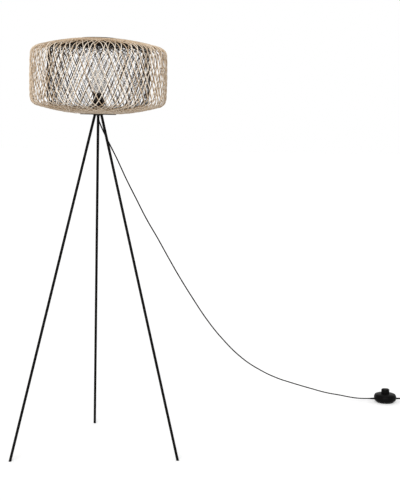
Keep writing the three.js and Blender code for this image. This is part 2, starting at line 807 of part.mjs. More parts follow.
// Lead inside the lampholder and the boot under the hub
function addLeadAtHub() {
  const spigotTop = hubFlatHeight + hubBootSpigot;
  const sheathTop = nippleTop + sheathAboveNipple;
  piece('cord_tail_holder', rod(cordRadius, spigotTop + touchGap, sheathTop, cordSides), 'blackPlastic');
  const coreTop = holderFoot + holderLedgeHeight - terminal.height - touchGap;
  const coreBottom = sheathTop + touchGap;
  const coreOffset = coreRadius + touchGap / 2;
  const coreLine = [
    [coreOffset, coreBottom],
    [coreOffset, coreBottom + coreRadius],
    [(coreOffset + terminal.offset) / 2, (coreBottom + coreTop) / 2],
    [terminal.offset, coreTop - coreRadius],
    [terminal.offset, coreTop],
  ].map(([x, z]) => new THREE.Vector3(x, 0, z));
  const core = woundTube(coreLine, () => coreRadius, wireFacets);
  piecesRound(['cord_core_live', 'cord_core_neutral'], core, 0, 'copper', lamp);

  const [start, next] = hangingPoints;
  const towards = new THREE.Vector3(...next).sub(new THREE.Vector3(...start));
  const outward = Math.hypot(start[0], start[1]) / Math.hypot(towards.x, towards.y);
  const tip = new THREE.Vector3(...start);
  const bend = tip.clone().addScaledVector(towards, -outward);
  tip.addScaledVector(towards.normalize(), -touchGap);
  const flangeTop = hubFlatHeight - touchGap;
  const root = new THREE.Vector3(0, 0, flangeTop - hubBootFlange.thickness / 2);
  const taperLine = new THREE.QuadraticBezierCurve3(root, bend, tip).getPoints(hubBootSteps);
  const radiusAt = (share) => hubBootRootRadius + (bootTipRadius - hubBootRootRadius) * share;
  const taper = woundTube(taperLine, radiusAt, rodFacets);
  const spigotRadius = nippleBoreRadius - touchGap;
  const flange = turned([
    [0, flangeTop - hubBootFlange.thickness],
    [hubBootFlange.radius, flangeTop - hubBootFlange.thickness],
    [hubBootFlange.radius, flangeTop],
    [spigotRadius, flangeTop],
    [spigotRadius, spigotTop],
    [0, spigotTop],
  ], rodFacets);
  piece('hub_cord_boot', joined([flange, taper]), 'blackRubber');
}

// Foot switch
function switchCover() {
  const bottom = switchBase.top + touchGap;
  const rise = switchCoverHeight - bottom;
  const outside = switchCoverOutlineShares.map(([r, z]) => [r * switchCoverRadius, bottom + z * rise]);
  const inside = movedOutline(outside, switchWall);
  inside[0][1] = bottom;
  inside[inside.length - 1][0] = outside[outside.length - 1][0];
  const shell = turned([...outside, ...inside.reverse()], switchFacets);
  const boss = rod(switchBoss.radius, bottom, switchBoss.top, smallFacets).translate(switchScrewCircle, 0, 0);
  const bosses = round(boss, switchScrewCount, switchScrewFirstAngle);
  const screwTop = switchBase.bottom + switchScrew.headHeight + switchScrew.length;
  const hole = rod(switchScrew.radius + touchGap, bottom - cutOverrun, screwTop + touchGap, smallFacets);
  const holes = round(hole.translate(switchScrewCircle, 0, 0), switchScrewCount, switchScrewFirstAngle);
  const inletRadius = bootNeckRadius + touchGap;
  const reach = switchCoverRadius + cutOverrun;
  const inlet = rod(inletRadius, switchScrewCircle, reach, rodFacets).rotateY(Math.PI / 2);
  const inlets = round(inlet.translate(0, 0, inletHeight), 2, 0);
  return cut(joined([shell, ...bosses]), [...holes, ...inlets]);
}

function switchBasePlate() {
  const { radius, footRadius: foot, bottom, top } = switchBase;
  const plate = turned([[0, bottom], [foot, bottom], [radius, top], [0, top]], switchFacets);
  const shank = rod(switchScrew.radius + touchGap, bottom - cutOverrun, top + cutOverrun, smallFacets);
  const headTop = bottom + switchScrew.headHeight + touchGap;
  const head = rod(switchScrew.headRadius + touchGap, bottom - cutOverrun, headTop, smallFacets);
  const cutters = [shank, head].flatMap((cutter) => {
    return round(cutter.translate(switchScrewCircle, 0, 0), switchScrewCount, switchScrewFirstAngle);
  });
  return cut(plate, cutters);
}

function switchButton() {
  const crownRise = buttonHeight - buttonEdgeHeight;
  const crown = buttonCrownShares.map(([r, z]) => [r * buttonRadius, buttonEdgeHeight + z * crownRise]);
  return turned([
    [0, buttonStem.bottom],
    [buttonStem.radius, buttonStem.bottom],
    [buttonStem.radius, buttonFlangeBottom],
    [buttonFlange.radius, buttonFlangeBottom],
    [buttonFlange.radius, buttonFlangeTop],
    [buttonRadius, buttonFlangeTop],
    [buttonRadius, buttonEdgeHeight],
    ...crown,
    [0, buttonHeight],
  ], switchFacets);
}

function switchSpring() {
  const bottom = switchSpringBottom + springWireRadius;
  const top = buttonFlangeBottom - touchGap - springWireRadius;
  const steps = springTurns * springStepsPerTurn;
  const line = Array.from({ length: steps + 1 }, (_, i) => {
    const angle = (i * 2 * Math.PI) / springStepsPerTurn;
    const height = bottom + ((top - bottom) * i) / steps;
    return new THREE.Vector3(springRadius * Math.cos(angle), springRadius * Math.sin(angle), height);
  });
  return woundTube(line, () => springWireRadius, springSides);
}

function cordBoot() {
  const flangeEnd = bootInnerFlange.from + bootInnerFlange.thickness;
  const collarStart = switchCoverRadius + touchGap;
  const collarEnd = collarStart + bootCollar.thickness;
  const tip = switchCoverRadius + bootLength;
  return turned([
    [0, bootInnerFlange.from],
    [bootInnerFlange.radius, bootInnerFlange.from],
    [bootInnerFlange.radius, flangeEnd],
    [bootNeckRadius, flangeEnd],
    [bootNeckRadius, collarStart],
    [bootCollar.radius, collarStart],
    [bootCollar.radius, collarEnd],
    [bootTipRadius, tip],
    [0, tip],
  ], rodFacets).rotateY(Math.PI / 2).translate(0, 0, inletHeight);
}

function addSwitch() {
  const unit = new THREE.Group();
  unit.position.set(switchX, switchY, 0);
  lamp.add(unit);
  piece('switch_pad', sleeve(switchPad.inner, switchPad.outer, 0, switchPad.thickness, switchFacets), 'blackRubber', unit);
  piece('switch_base', switchBasePlate(), 'blackPlastic', unit);
  piece('switch_cover', switchCover(), 'blackPlastic', unit);
  piece('switch_button', switchButton(), 'blackPlastic', unit);
  piece('switch_spring', switchSpring(), 'plainSteel', unit);

  const blockBottom = switchBase.top + touchGap;
  const blockHeight = switchBlock.top - blockBottom;
  const block = new THREE.BoxGeometry(switchBlock.length, switchBlock.width, blockHeight);
  block.translate(0, 0, blockBottom + blockHeight / 2);
  const boreRadius = buttonStem.radius + touchGap;
  const bore = rod(boreRadius, switchBlock.boreBottom, switchBlock.top + cutOverrun, rodFacets);
  piece('switch_block', cut(block, [bore]), 'ceramic', unit);

  const { thickness, width, height } = switchTerminal;
  const terminalInside = switchBlock.length / 2 + touchGap;
  const contact = new THREE.BoxGeometry(thickness, width, height);
  contact.translate(terminalInside + thickness / 2, 0, inletHeight);
  piecesRound(['switch_terminal_out', 'switch_terminal_in'], contact, 0, 'brass', unit);

  const tailStart = terminalInside + thickness + touchGap;
  const tail = rod(cordRadius, tailStart, bootInnerFlange.from - touchGap, cordSides);
  tail.rotateY(Math.PI / 2).translate(0, 0, inletHeight);
  piecesRound(['cord_tail_switch_out', 'cord_tail_switch_in'], tail, 0, 'blackPlastic', unit);

  const { radius, length, headRadius, headHeight } = switchScrew;
  const shankTop = switchBase.bottom + headHeight + length;
  const headTop = switchBase.bottom + headHeight;
  const screw = turned([
    [0, switchBase.bottom],
    [headRadius, switchBase.bottom],
    [headRadius, headTop],
    [radius, headTop],
    [radius, shankTop],
    [0, shankTop],
  ], smallFacets).translate(switchScrewCircle, 0, 0);
  const screwNames = Array.from({ length: switchScrewCount }, (_, i) => `switch_screw_${i + 1}`);
  piecesRound(screwNames, screw, switchScrewFirstAngle, 'plainSteel', unit);
  piece('switch_boot_out', cordBoot(), 'blackRubber', unit);
  piece('switch_boot_in', cordBoot().rotateZ(Math.PI), 'blackRubber', unit);
}

// Free stretches of the lead, the coil and the plug
function coilRise(share) {
  return share * share * (3 - 2 * share); // eases in and out of the climb
}

function coilPoint(turn) {
  const reversal = coilLayerTurns + coilClimbTurns;
  const innerRadius = coilOuterRadius - coilPitch * coilLayerTurns;
  let radius = coilOuterRadius - coilPitch * turn;
  let height = coilFloorHeight;
  if (turn > reversal) {
    radius = innerRadius + coilPitch * (turn - reversal);
    height += coilPitch;
  } else if (turn > coilLayerTurns) {
    const climbed = turn - coilLayerTurns;
    radius = innerRadius - coilPitch * climbed + (coilPitch * climbed * climbed) / coilClimbTurns;
    height += coilPitch * coilRise(climbed / coilClimbTurns);
  }
  const angle = radians(coilStartAngle) + turn * 2 * Math.PI;
  return new THREE.Vector3(
    coilCentre[0] + radius * Math.cos(angle),
    coilCentre[1] + radius * Math.sin(angle),
    height,
  );
}

function coilLine() {
  const turns = 2 * coilLayerTurns + coilClimbTurns;
  const steps = Math.round(turns * coilStepsPerTurn);
  const line = Array.from({ length: steps + 1 }, (_, i) => coilPoint((turns * i) / steps));
  const before = line[0].clone().sub(line[1]).setLength(2 * cordRadius).add(line[0]);
  const last = line[steps];
  const after = last.clone().sub(line[steps - 1]).setLength(2 * cordRadius).add(last);
  return [before, ...line, after];
}

function lengthOf(points) {
  return points.slice(1).reduce((sum, p, i) => sum + p.distanceTo(points[i]), 0);
}

// The least distance between the tube's own turns, leaving out what is nearly the same place on it.
function leastGap(line, radius) {
  const apart = Math.round(coilStepsPerTurn / 2);
  let least = Infinity;
  line.forEach((p, i) => {
    for (let j = i + apart; j < line.length; j += 1) {
      least = Math.min(least, p.distanceTo(line[j]) - 2 * radius);
    }
  });
  return least;
}

function plugGeometry() {
  const { length, width, neckWidth, thickness, taper, bevel } = plugBody;
  const half = width / 2 - bevel;
  const neck = neckWidth / 2 - bevel;
  const outline = new THREE.Shape();
  outline.moveTo(-neck, bevel);
  outline.lineTo(neck, bevel);
  outline.quadraticCurveTo(half, taper / 2, half, taper);
  outline.lineTo(half, length - bevel);
  outline.lineTo(-half, length - bevel);
  outline.lineTo(-half, taper);
  outline.quadraticCurveTo(-half, taper / 2, -neck, bevel);
  const depth = thickness - 2 * bevel;
  const options = {
    depth,
    bevelEnabled: true,
    bevelThickness: bevel,
    bevelSize: bevel,
    bevelSegments: plugBevelSteps,
    curveSegments: plugCurveSteps,
  };
  return new THREE.ExtrudeGeometry(outline, options).translate(0, 0, -depth / 2).rotateX(Math.PI / 2);
}

function addPlug(leadEnd) {
  const unit = new THREE.Group();
  unit.position.copy(leadEnd);
  unit.rotation.x = -Math.PI / 2;
  lamp.add(unit);
  const boot = turned([
    [0, touchGap],
    [plugBoot.tipRadius, touchGap],
    [plugBoot.rootRadius, plugBoot.length],
    [0, plugBoot.length],
  ], rodFacets);
  piece('plug_boot', boot, 'blackRubber', unit);
  const bodyStart = plugBoot.length + touchGap;
  const bodyEnd = bodyStart + plugBody.length;
  const face = bodyEnd + touchGap;
  const inner = pin.coreRadius + touchGap;
  const cover = sleeve(inner, inner + pinSleeveWall, bodyEnd - pinSleeveRoot, face + pin.sleeveLength - touchGap, smallFacets);
  const covers = round(cover.translate(pin.spacing / 2, 0, 0), 2, 0);
  const body = joined([plugGeometry().translate(0, 0, bodyStart), ...covers]);
  piece('plug_body', body, 'blackPlastic', unit);
  const rounding = pin.radius / 2;
  const prong = turned([
    [0, face],
    [pin.coreRadius, face],
    [pin.coreRadius, face + pin.sleeveLength],
    [pin.radius, face + pin.sleeveLength],
    [pin.radius, face + pin.length - rounding],
    [rounding, face + pin.length],
    [0, face + pin.length],
  ], smallFacets).translate(pin.spacing / 2, 0, 0);
  piecesRound(['plug_pin_right', 'plug_pin_left'], prong, 0, 'nickel', unit);
}

function addLead() {
  piece('cord_to_switch', cordAlong(hangingPoints, hangingSteps), 'blackPlastic');
  piece('cord_to_coil', cordAlong(coilLeadPoints, coilLeadSteps), 'blackPlastic');
  const coil = coilLine();
  piece('cord_coil', woundTube(coil, () => cordRadius, coilSides), 'blackPlastic');
  const coilEnd = coil[coil.length - 1];
  const heading = coilEnd.clone().sub(coil[coil.length - 2]).normalize();
  const leadStart = coilEnd.clone().addScaledVector(heading, touchGap);
  const plugHeight = plugBody.thickness / 2;
  const leadEnd = new THREE.Vector3(leadStart.x, leadStart.y + plugLeadLength, plugHeight);
  const middle = leadStart.clone().lerp(leadEnd, 0.5);
  const nearStart = leadStart.clone().addScaledVector(heading, 2 * cordRadius);
  const nearEnd = leadEnd.clone();
  nearEnd.y -= 2 * cordRadius;
  const plugLead = [leadStart, nearStart, middle, nearEnd, leadEnd];
  piece('cord_to_plug', cordAlong(plugLead.map((p) => p.toArray()), plugLeadSteps), 'blackPlastic');
  addPlug(leadEnd);
  console.log(`coil: least gap to itself ${leastGap(coil, cordRadius).toFixed(2)} mm`);
  const parts = [hangingPoints, coilLeadPoints].map((route) => route.map((p) => new THREE.Vector3(...p)));
  const lengths = [...parts, coil, plugLead].map(lengthOf);
  console.log(`cord lengths, mm: ${lengths.map((l) => l.toFixed(0)).join(', ')}`);
}

addLegs();
addHub();
addShade();
addHolder();
addBulb();
addLeadAtHub();
addSwitch();
addLead();

const floorLamp = new THREE.Group();
floorLamp.add(lamp);

export default floorLamp;
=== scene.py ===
"""Looks of a tripod floor lamp with a double-walled woven rattan shade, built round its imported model.

Metres, with named angles in degrees, +Z up and the floor at z = 0. The lamp's own upright axis passes in
front of the origin.
"""

import json
import math
from collections import namedtuple

import bpy
import numpy as np
from mathutils import Matrix, Vector


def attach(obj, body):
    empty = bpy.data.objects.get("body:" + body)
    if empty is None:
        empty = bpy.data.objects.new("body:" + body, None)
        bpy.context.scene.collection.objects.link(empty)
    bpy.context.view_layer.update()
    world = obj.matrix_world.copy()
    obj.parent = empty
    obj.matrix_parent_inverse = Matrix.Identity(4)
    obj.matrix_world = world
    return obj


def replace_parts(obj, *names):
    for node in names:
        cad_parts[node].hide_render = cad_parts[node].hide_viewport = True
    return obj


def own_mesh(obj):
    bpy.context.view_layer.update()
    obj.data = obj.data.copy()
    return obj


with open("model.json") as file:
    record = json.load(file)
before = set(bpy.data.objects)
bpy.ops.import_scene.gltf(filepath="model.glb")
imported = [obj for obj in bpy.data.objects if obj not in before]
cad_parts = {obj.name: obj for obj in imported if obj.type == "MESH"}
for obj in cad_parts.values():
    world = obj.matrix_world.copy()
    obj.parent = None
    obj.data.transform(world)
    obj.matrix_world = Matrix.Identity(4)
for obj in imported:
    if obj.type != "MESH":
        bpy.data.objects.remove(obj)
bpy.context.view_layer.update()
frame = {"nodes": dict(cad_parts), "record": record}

# The lamp
LAMP = "lamp"
AXIS_Y = -0.052589
TOUCH_GAP = 0.0003
FOOT_RADIUS = 0.350
LEG_SEAT_RADIUS = 0.0142
LEG_SEAT_HEIGHT = 1.247
LEG_RADIUS = 0.005
LEG_BORE_RADIUS = 0.0033
LEG_EDGE_ROUNDING = 0.0004
LEG_ANGLES = {"rear": 90, "left": 210, "right": 330}
FOOT_CAP_LENGTH = 0.014
HUB_RADIUS = 0.024
HUB_FLAT_RADIUS = 0.009
HUB_HOLE_RADIUS = 0.0053
HUB_TOP_HEIGHT = 1.261
HUB_EDGE_ROUNDING = 0.001
LEG_RUN = FOOT_RADIUS - LEG_SEAT_RADIUS
LEG_TILT = math.atan2(LEG_RUN, LEG_SEAT_HEIGHT)

# The shade: outlines of the upper half, as radius and rise above the middle
SHADE_CENTRE_HEIGHT = 1.387
RING_RADIUS = 0.064
RING_RISE = 0.136
WIRE_RADIUS = 0.002
OUTER_OUTLINE = [
    [(0.0666, 0.1350), (0.130, 0.1338), (0.223, 0.1085)],
    [(0.223, 0.1085), (0.2455, 0.102), (0.2485, 0.078)],
    [(0.2485, 0.078), (0.250, 0.039), (0.250, 0)],
]
INNER_OUTLINE = [
    [(0.0652, 0.1339), (0.115, 0.131), (0.166, 0.1125)],
    [(0.166, 0.1125), (0.183, 0.106), (0.185, 0.086)],
    [(0.185, 0.086), (0.187, 0.043), (0.187, 0)],
]
# Slants and skins go by the share of the way from the upper mouth to the lower one: degrees from the steepest
# way down, and how much of the skin the outer faces keep, which paints shade on the roofs and undersides
# where it drops
OUTER_WEAVE = {
    "seed": 3,
    "strips": 70,
    "step": 0.0048,
    "width": 0.0027,
    "thickness": 0.0024,
    "inset": 0.0014,
    "lift": 0.0009,
    "slants": [
        (0, 66), (0.1, 60), (0.18, 36), (0.24, 16), (0.34, 14), (0.42, 22), (0.5, 24),
        (0.6, 25), (0.68, 27), (0.76, 24), (0.81, 30), (0.89, 58), (1, 66),
    ],
    # painted shade: less pale skin on the roof and the underside, which face away from the light
    "painted_shade_skin_shares": [(0, 0.2), (0.2, 0.45), (0.3, 1), (0.7, 1), (0.8, 0.75), (1, 0.7)],
    "width_spread_share": 0.2,
    "place_spread_share": 0.16,
    "start_angle": -90,
}
INNER_WEAVE = {
    "seed": 5,
    "strips": 64,
    "step": 0.0035,
    "width": 0.0016,
    "thickness": 0.0016,
    "inset": 0.0008,
    "lift": 0.0007,
    "slants": [
        (0, 66), (0.15, 64), (0.24, 60), (0.3, 45), (0.36, 26), (0.5, 22),
        (0.64, 24), (0.72, 27), (0.78, 40), (0.88, 60), (1, 66),
    ],
    # painted shade and sheen: grey skin where the wall faces the light, black at its roof and underside rims
    "painted_shade_skin_shares": [
        (0, 0), (0.3, 0), (0.36, 0.8), (0.42, 1), (0.58, 1), (0.66, 0.7), (0.74, 0.1), (1, 0),
    ],
    "width_spread_share": 0.2,
    "place_spread_share": 0.2,
    "start_angle": -87,
}
OUTLINE_STEPS = 40  # to each stretch of an outline
STRIP_SECTION_SHARES = [(-0.5, -0.4), (0.5, -0.4), (0.5, 0.05), (0.32, 0.5), (-0.32, 0.5), (-0.5, 0.05)]
STRIP_SKIN_SHARES = [0, 0, 0.4, 1, 0.4, 0]  # on the face from each corner to the next
WIDEST_STRIP_SHARE = 0.9  # of the way from one strip to the next
SWAY_RATES = (2, 6)  # the least and the most, in radians of sway to one of turn
TONE_SHAPES = (1.4, 0.9)  # of a beta distribution that leans to the paler tones
UPRIGHT = np.array([0, 0, 1])
StripPath = namedtuple("StripPath", "radius rise way normal turn slant skin")

# Round bodies
ROUND_FACETS = 64
WIRE_FACETS = 12
SHARP_ANGLE = 35

# The lead
CORD_RADIUS = 0.0025
CORD_BEVEL_RESOLUTION = 4
CORD_STEPS_PER_KNOT = 6
HANGING_ROUTE = [
    (0.004, 0.003, 1.224),
    (0.012, 0.009, 1.2055),
    (0.033, 0.023, 1.162),
    (0.072, 0.049, 1.0865),
    (0.107, 0.073, 1.013),
    (0.147, 0.102, 0.936),
    (0.188, 0.130, 0.858),
    (0.235, 0.163, 0.779),
    (0.281, 0.196, 0.698),
    (0.330, 0.230, 0.615),
    (0.384, 0.267, 0.530),
    (0.443, 0.309, 0.442),
    (0.515, 0.360, 0.351),
    (0.609, 0.426, 0.255),
    (0.697, 0.488, 0.190),
    (0.779, 0.545, 0.143),
    (0.844, 0.588, 0.114),
    (0.944, 0.638, 0.0755),
    (1.019, 0.663, 0.0506),
    (1.084, 0.679, 0.0355),
    (1.132, 0.687, 0.0245),
    (1.167, 0.690, 0.019),
    (1.196, 0.691, 0.0172),
    (1.2182, 0.691, 0.017),
]
COIL_LEAD_ROUTE = [
    (1.3658, 0.691, 0.017),
    (1.3725, 0.691, 0.0165),
    (1.3835, 0.691, 0.0132),
    (1.3955, 0.691, 0.0078),
    (1.4065, 0.691, 0.004),
    (1.4155, 0.691, 0.0029),
]
COIL_CENTRE = (1.4295, 0.7285)
COIL_OUTER_RADIUS = 0.0375
COIL_PITCH = 0.0056
COIL_LAYER_TURNS = 2.875
COIL_CLIMB_TURNS = 0.5
COIL_START_ANGLE = -90
COIL_FLOOR_HEIGHT = 0.0028
COIL_STEPS_PER_TURN = 16
PLUG_LEAD_LENGTH = 0.030
PLUG_LEAD_KNOT_SHARE = 0.5  # of the way from the coil to the plug
PLUG_HEIGHT = 0.00685

# The lampholder, heights above its own foot
HOLDER_FOOT = 1.2646
HOLDER_CAP_OUTLINE = [
    (0.0053, 0),
    (0.0098, 0),
    (0.0105, 0.0008),
    (0.0117, 0.0065),
    (0.0155, 0.0105),
    (0.0197, 0.0125),
    (0.0205, 0.0145),
    (0.0205, 0.024),
    (0.0181, 0.024),
    (0.0181, 0.0197),
    (0.015, 0.0197),
    (0.015, 0.013),
    (0.0093, 0.007),
    (0.0053, 0.007),
]
HOLDER_SHELL_OUTLINE = [
    (0.017, 0.0243),
    (0.0215, 0.0243),
    (0.0215, 0.031),
    (0.0196, 0.031),
    (0.0196, 0.0632),
    (0.0190, 0.064),
    (0.0176, 0.064),
    (0.017, 0.0632),
]
CLAMP_RING_OUTLINE = [
    (0.0199, 0.0332),
    (0.0244, 0.0332),
    (0.025, 0.0338),
    (0.025, 0.0386),
    (0.0244, 0.0392),
    (0.0199, 0.0392),
]

# The bulb, heights above its contact's tip
BULB_FOOT = 1.3013
BULB_HEIGHT = 0.108
BULB_RADIUS = 0.030
BULB_WALL = 0.0016
BULB_JOINT_RADIUS = 0.027
BULB_JOINT_HEIGHT = 0.0553
BULB_BODY_OUTLINE = [
    (0, 0.0233),
    (0.0129, 0.0233),
    (0.0145, 0.030),
    (0.019, 0.0375),
    (0.0245, 0.046),
    (0.0268, 0.052),
    (0.027, 0.055),
    (0.0254, 0.055),
    (0.0236, 0.051),
    (0, 0.051),
]
BULB_DOME_STEPS = 24

# The foot switch's return spring, under its button
SWITCH_CENTRE = (1.292, 0.691)
SPRING_RADIUS = 0.0066
SPRING_WIRE_RADIUS = 0.0006
SPRING_TURNS = 5
SPRING_STEPS_PER_TURN = 24
SPRING_SIDES = 8
SPRING_BOTTOM = 0.0243
SPRING_TOP = 0.0363

# The photograph's camera, from the lamp's axis
CAMERA_DISTANCE = 4.25
CAMERA_HEIGHT = 1.2386
CAMERA_YAW = 5.169
CAMERA_PITCH = 6.466
CAMERA_ROLL = 1.217
CAMERA_LENS_MM = 82.764
CAMERA_SENSOR_MM = 36

# Light and backdrop
WHITE = (1, 1, 1)
SKY_STRENGTH = 0.55
KEY_STRENGTH = 2.5
KEY_SOFTNESS = 40
KEY_DIRECTION = (-15, 22)  # turn from the front, less than zero on the photograph's left, and rise
BACKDROP_SHADE = 1.0
FLOOR_REACH = 40
FLOOR_SHADE = 0.88
FLOOR_GRAIN = 0.004
FLOOR_GRAIN_SCALE = 2
FLOOR_ROUGHNESS = 0.95
FLOOR_GLOW = 0.3  # for rays that show the background, so that the floor is as white as the backdrop

# Finishes
NOISE_DETAIL = 4
BUMP_DEPTH = 0.0002
GRAIN_COLOURS = ((0.82, 0.8, 0.76), WHITE)
GRAIN_SCALE = 900
OPAL_COLOURS = ((0.95, 0.94, 0.92), (0.97, 0.96, 0.94))
OPAL_SCALE = 60
OPAL_ROUGHNESS = 0.6
OPAL_TRANSMISSION = 0.6
# a painted glow on the unlit bulb, which lifts it toward white
OPAL_PAINTED_GLOW_COLOUR = (1, 0.99, 0.97)
OPAL_PAINTED_GLOW = 0.04


def at_lamp(x, y, z):
    """A place whose x and y are given from the lamp's upright axis."""
    return Vector((x, y + AXIS_Y, z))


def grey(shade):
    return (shade, shade, shade)


def make_camera():
    """The photograph's camera, turned by its yaw, pitch and roll."""
    yaw, pitch, roll = (math.radians(a) for a in (CAMERA_YAW, CAMERA_PITCH, CAMERA_ROLL))
    ahead = Vector((math.sin(yaw) * math.cos(pitch), math.cos(yaw) * math.cos(pitch), -math.sin(pitch)))
    level = Vector((math.cos(yaw), -math.sin(yaw), 0))
    above = level.cross(ahead)
    right = math.cos(roll) * level + math.sin(roll) * above
    up = math.cos(roll) * above - math.sin(roll) * level
    data = bpy.data.cameras.new("photo_camera")
    data.lens = CAMERA_LENS_MM
    data.sensor_width = CAMERA_SENSOR_MM
    camera = bpy.data.objects.new("photo_camera", data)
    turn = Matrix((right, up, -ahead)).transposed().to_4x4()
    camera.matrix_world = Matrix.Translation(at_lamp(0, -CAMERA_DISTANCE, CAMERA_HEIGHT)) @ turn
    bpy.context.scene.collection.objects.link(camera)
    bpy.context.scene.camera = camera


def new_material(name, build):
    """A node material whose surface the given function sets up on a Principled shader."""
    material = bpy.data.materials.new(name)
    material.use_nodes = True
    tree = material.node_tree
    build(tree, tree.nodes["Principled BSDF"])
    return material


def mottle(tree, low, high, scale):
    """A colour that wanders between two over the object's own space, and the noise behind it."""
    place = tree.nodes.new("ShaderNodeTexCoord")
    noise = tree.nodes.new("ShaderNodeTexNoise")
    noise.inputs["Scale"].default_value = scale
    noise.inputs["Detail"].default_value = NOISE_DETAIL
    ramp = tree.nodes.new("ShaderNodeValToRGB")
    ramp.color_ramp.elements[0].color = (*low, 1)
    ramp.color_ramp.elements[1].color = (*high, 1)
    tree.links.new(place.outputs["Object"], noise.inputs["Vector"])
    tree.links.new(noise.outputs["Fac"], ramp.inputs["Fac"])
    return ramp.outputs["Color"], noise.outputs["Fac"]


def mesh_value(tree, name):
    """What the mesh holds under the given name."""
    attribute = tree.nodes.new("ShaderNodeAttribute")
    attribute.attribute_name = name
    return attribute.outputs["Fac"]


def multiplied(tree, colour, shade):
    """One colour times another."""
    mix = tree.nodes.new("ShaderNodeMix")
    mix.data_type = "RGBA"
    mix.blend_type = "MULTIPLY"
    mix.inputs["Factor"].default_value = 1
    tree.links.new(colour, mix.inputs["A"])
    tree.links.new(shade, mix.inputs["B"])
    return mix.outputs["Result"]


def plain_finish(low, high, scale, roughness, metallic=0.0, bump=0.0, specular=0.5):
    """A finish between two close tones, with a fine relief where a bump is given."""

    def build(tree, shader):
        colour, height = mottle(tree, low, high, scale)
        tree.links.new(colour, shader.inputs["Base Color"])
        shader.inputs["Roughness"].default_value = roughness
        shader.inputs["Metallic"].default_value = metallic
        shader.inputs["Specular IOR Level"].default_value = specular
        if bump:
            relief = tree.nodes.new("ShaderNodeBump")
            relief.inputs["Strength"].default_value = bump
            relief.inputs["Distance"].default_value = BUMP_DEPTH
            tree.links.new(height, relief.inputs["Height"])
            tree.links.new(relief.outputs["Normal"], shader.inputs["Normal"])

    return build


def strip_finish(skin, back, dark_tone, roughness, specular):
    """A skin on the outer face and a plainer back, each strip in its own tone with a fine grain.
    Where the skin's share drops, shade is painted; a grey skin on dark strips is a painted sheen.
    """

    def build(tree, shader):
        faces = tree.nodes.new("ShaderNodeMix")
        faces.data_type = "RGBA"
        faces.inputs["A"].default_value = (*back, 1)
        faces.inputs["B"].default_value = (*skin, 1)
        tree.links.new(mesh_value(tree, "skin"), faces.inputs["Factor"])
        tones = tree.nodes.new("ShaderNodeValToRGB")
        tones.color_ramp.elements[0].color = (*dark_tone, 1)
        tones.color_ramp.elements[1].color = (*WHITE, 1)
        tree.links.new(mesh_value(tree, "tone"), tones.inputs["Fac"])
        grain, _ = mottle(tree, *GRAIN_COLOURS, GRAIN_SCALE)
        toned = multiplied(tree, faces.outputs["Result"], tones.outputs["Color"])
        tree.links.new(multiplied(tree, toned, grain), shader.inputs["Base Color"])
        shader.inputs["Roughness"].default_value = roughness
        shader.inputs["Specular IOR Level"].default_value = specular

    return build


def opal_finish(tree, shader):
    """Milky and half see-through, so it takes on the light around it, with a faint painted glow that lifts
    the unlit bulb.
    """
    colour, _ = mottle(tree, *OPAL_COLOURS, OPAL_SCALE)
    tree.links.new(colour, shader.inputs["Base Color"])
    shader.inputs["Roughness"].default_value = OPAL_ROUGHNESS
    shader.inputs["Transmission Weight"].default_value = OPAL_TRANSMISSION
    shader.inputs["Emission Color"].default_value = (*OPAL_PAINTED_GLOW_COLOUR, 1)
    shader.inputs["Emission Strength"].default_value = OPAL_PAINTED_GLOW


FINISHES = {
    "rattan": strip_finish(
        skin=(0.98, 0.92, 0.83),
        back=(0.58, 0.42, 0.26),
        dark_tone=(0.55, 0.46, 0.36),
        roughness=0.5,
        specular=0.3,
    ),
    "dark_rattan": strip_finish(
        # the grey skin is a painted sheen on black strips; the near-black back is their own colour
        skin=(0.2, 0.175, 0.17),
        back=(0.015, 0.011, 0.009),
        dark_tone=(0.35, 0.32, 0.3),
        roughness=0.55,
        specular=0.08,
    ),
    "black_steel": plain_finish(
        (0.002, 0.0018, 0.0018), (0.004, 0.0036, 0.0036), scale=300, roughness=0.4, bump=0.15, specular=0.04
    ),
    "black_plastic": plain_finish(
        (0.002, 0.0017, 0.0017), (0.004, 0.0035, 0.0035), scale=500, roughness=0.4, specular=0.04
    ),
    "black_rubber": plain_finish(grey(0.003), grey(0.006), scale=500, roughness=0.75, specular=0.04),
    "plain_steel": plain_finish(
        (0.5, 0.5, 0.49), (0.62, 0.62, 0.6), scale=250, roughness=0.35, metallic=1.0
    ),
    "brass": plain_finish((0.6, 0.44, 0.2), (0.72, 0.55, 0.28), scale=250, roughness=0.35, metallic=1.0),
    "nickel": plain_finish((0.6, 0.59, 0.56), (0.7, 0.69, 0.66), scale=250, roughness=0.25, metallic=1.0),
    "ceramic": plain_finish((0.78, 0.76, 0.7), (0.84, 0.82, 0.77), scale=200, roughness=0.35),
    "opal": opal_finish,
    "white_plastic": plain_finish((0.82, 0.81, 0.78), (0.87, 0.86, 0.84), scale=200, roughness=0.45),
    "copper": plain_finish((0.1, 0.2, 0.5), (0.14, 0.26, 0.58), scale=200, roughness=0.4),
}
MATERIALS = {name: new_material(name, finish) for name, finish in FINISHES.items()}


def add_piece(data, name, slot):
    """A piece of the lamp's body in the given finish."""
    piece = bpy.data.objects.new(name, data)
    bpy.context.scene.collection.objects.link(piece)
    data.materials.append(MATERIALS[slot])
    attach(piece, LAMP)
    return piece


def smooth_all(mesh):
    mesh.polygons.foreach_set("use_smooth", np.ones(len(mesh.polygons), dtype=bool))


def smooth_with_edges(mesh):
    """Smooth shading, with an edge wherever the surface turns sharply."""
    smooth_all(mesh)
    mesh.set_sharp_from_angle(angle=math.radians(SHARP_ANGLE))


